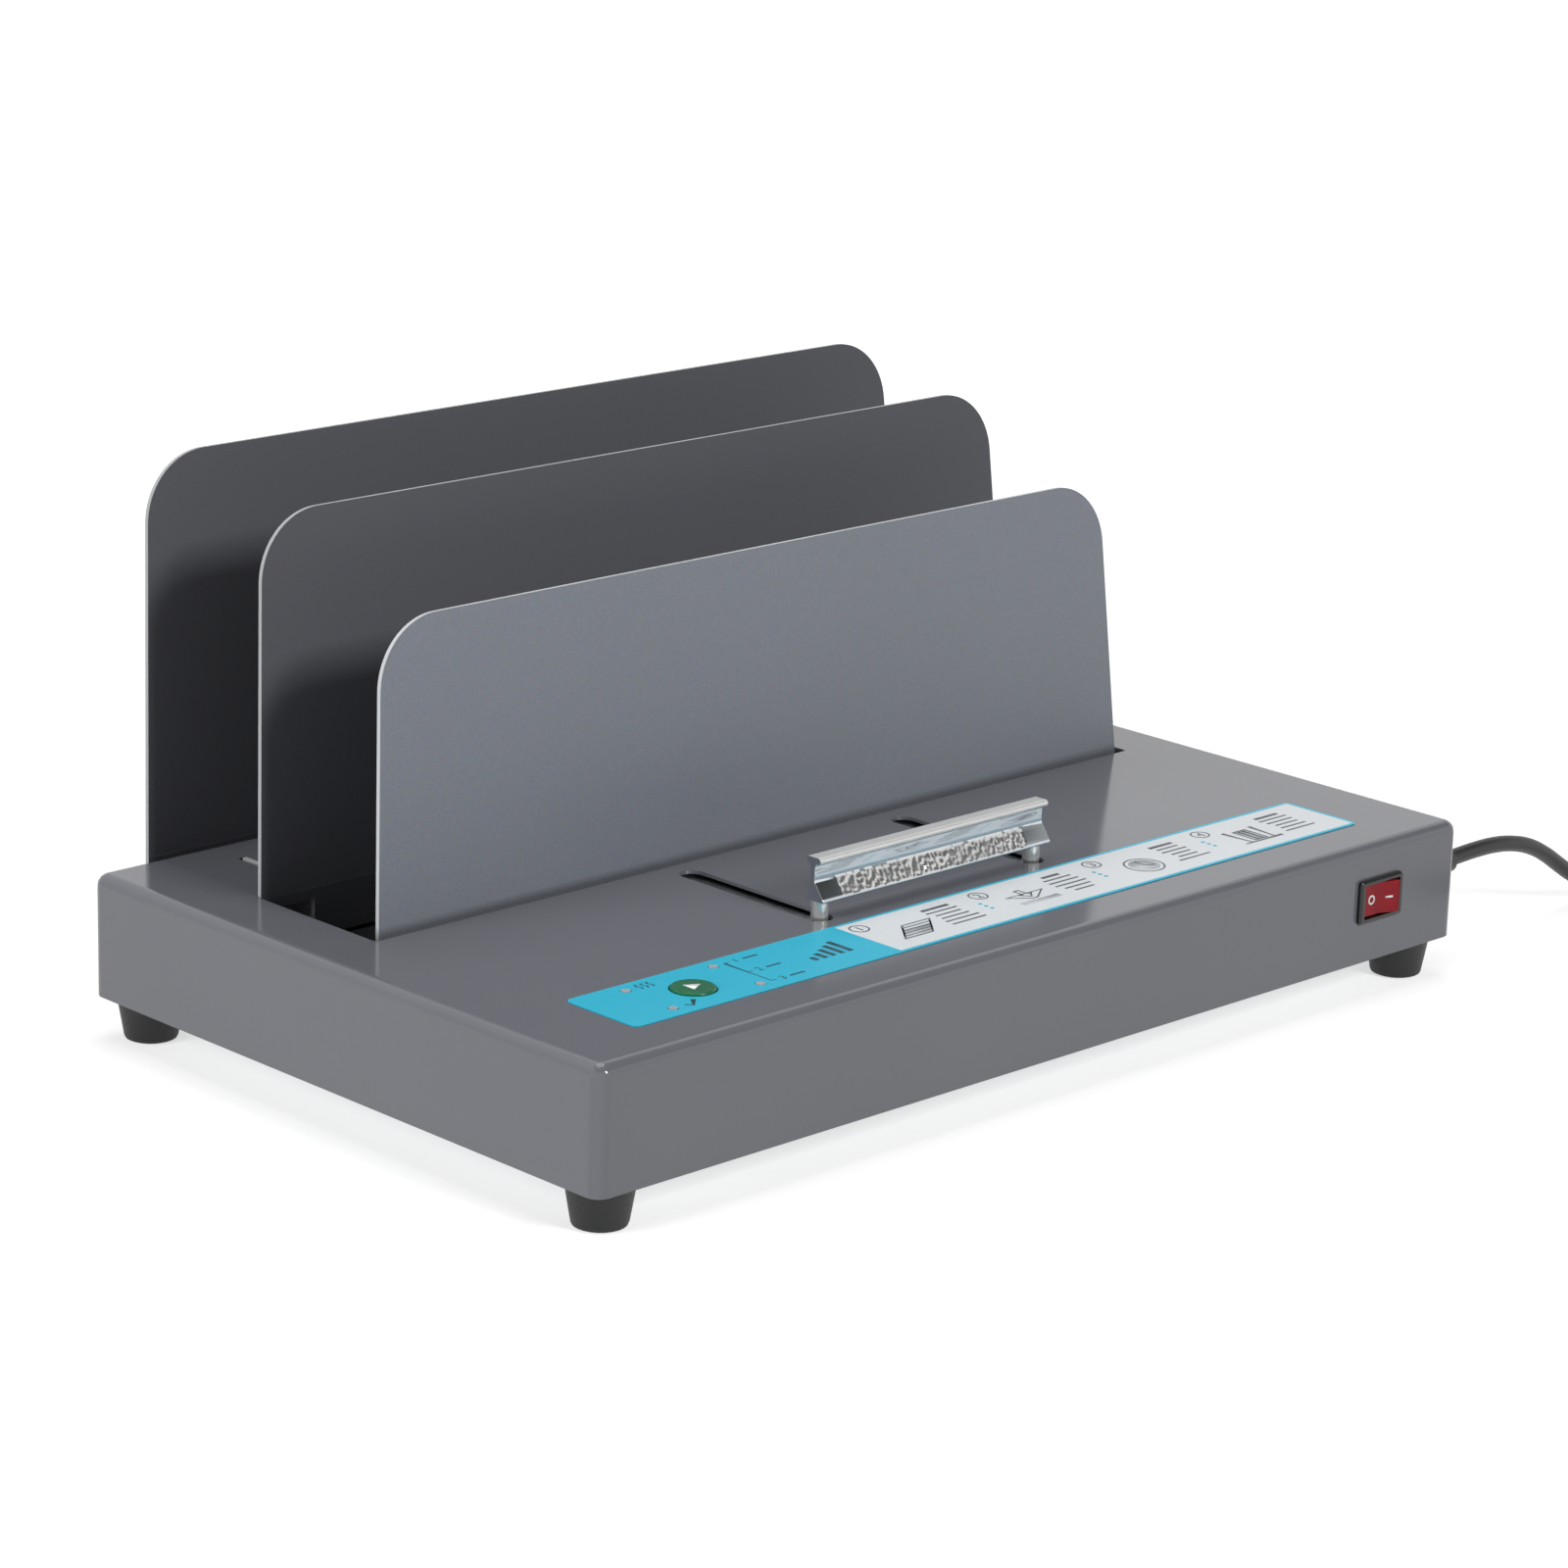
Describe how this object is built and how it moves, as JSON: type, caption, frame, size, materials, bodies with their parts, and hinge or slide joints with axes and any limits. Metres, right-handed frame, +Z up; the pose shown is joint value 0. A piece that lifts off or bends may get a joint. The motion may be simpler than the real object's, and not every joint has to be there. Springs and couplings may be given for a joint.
{
  "type": "thermal binding machine",
  "caption": "Low sheet-steel body with three upright leaning plates, a heated slot between two of them, a sliding clamp plate with a bar handle, a start button and a rocker switch.",
  "frame": {"origin": "on the surface the feet stand on, under the middle of the machine without its cord", "axes": "+X to the operator's right, +Y away from the operator, +Z up"},
  "size_m": [0.5607, 0.3257, 0.1805],
  "materials": {
    "grey_paint": "semi-gloss grey paint",
    "satin_plate_paint": "satin metallic grey paint",
    "dark_plate_paint": "satin dark grey paint",
    "zinc_sheet": "zinc-plated",
    "steel": "bright zinc-plated",
    "chrome": "polished",
    "brass": "turned",
    "dark_aluminium": "coated, dark",
    "rubber": "matt",
    "black_plastic": "fine grain",
    "white_plastic": "moulded",
    "blue_plastic": "moulded",
    "red_clear_plastic": "clear tinted",
    "green_plastic": "satin",
    "clear_lens": "clear",
    "printed_film": "printed film, satin",
    "circuit_board": "lacquered",
    "insulation_fibre": "pressed fibre",
    "mica": "laminated"
  },
  "bodies": {
    "machine": {"top_cover": "grey_paint", "middle_plate": "dark_plate_paint", "back_plate": "dark_plate_paint", "base_pan": "zinc_sheet", "rod_bracket_left": "zinc_sheet", "rod_bracket_right": "zinc_sheet", "rear_rail": "zinc_sheet", "heater_tray": "zinc_sheet", "guide_rod_left": "steel", "guide_rod_right": "steel", "thermal_fuse": "steel", "back_plate_screw_left": "steel", "back_plate_screw_mid_left": "steel", "back_plate_screw_mid_right": "steel", "back_plate_screw_right": "steel", "foot_screw_front_left": "steel", "foot_screw_rear_left": "steel", "foot_screw_front_right": "steel", "foot_screw_rear_right": "steel", "heating_plate": "dark_aluminium", "foot_front_left": "rubber", "foot_rear_left": "rubber", "foot_front_right": "rubber", "foot_rear_right": "rubber", "power_cord": "rubber", "cord_coil": "rubber", "switch_housing": "black_plastic", "strain_relief": "black_plastic", "plug": "black_plastic", "coil_tie": "black_plastic", "thermostat": "black_plastic", "buzzer": "black_plastic", "key_switch": "black_plastic", "mains_lead": "black_plastic", "switch_lead": "black_plastic", "connector": "white_plastic", "heater_lead": "white_plastic", "transformer": "blue_plastic", "relay": "blue_plastic", "indicator_front_left": "clear_lens", "indicator_rear_left": "clear_lens", "indicator_front_right": "clear_lens", "indicator_rear_right": "clear_lens", "label": "printed_film", "control_board": "circuit_board", "insulation_board": "insulation_fibre", "heating_element": "mica"},
    "clamp": {"front_plate": "satin_plate_paint", "slide_carriage": "zinc_sheet", "carriage_bush_left": "brass", "carriage_bush_right": "brass", "handle": "chrome", "handle_post_left": "chrome", "handle_post_right": "chrome", "handle_nut_left": "zinc_sheet", "handle_nut_right": "zinc_sheet"},
    "rocker_body": {"rocker": "red_clear_plastic"},
    "start_key": {"start_button": "green_plastic", "key_plunger": "white_plastic"}
  },
  "joints": [
    {"name": "clamp_slide", "type": "slide", "parent": "machine", "child": "clamp", "axis": [0, 1, 0], "range_m": [0, 0.0519]},
    {"name": "rocker_tilt", "type": "hinge", "parent": "machine", "child": "rocker_body", "pos_m": [0.1514, -0.12146, 0.0348], "axis": [0, 0, 1], "range_deg": [0, 20]},
    {"name": "start_press", "type": "slide", "parent": "machine", "child": "start_key", "axis": [0, 0, -1], "range_m": [0, 0.0004], "stiffness_N_per_m": 400, "springref_m": -0.001}
  ]
}
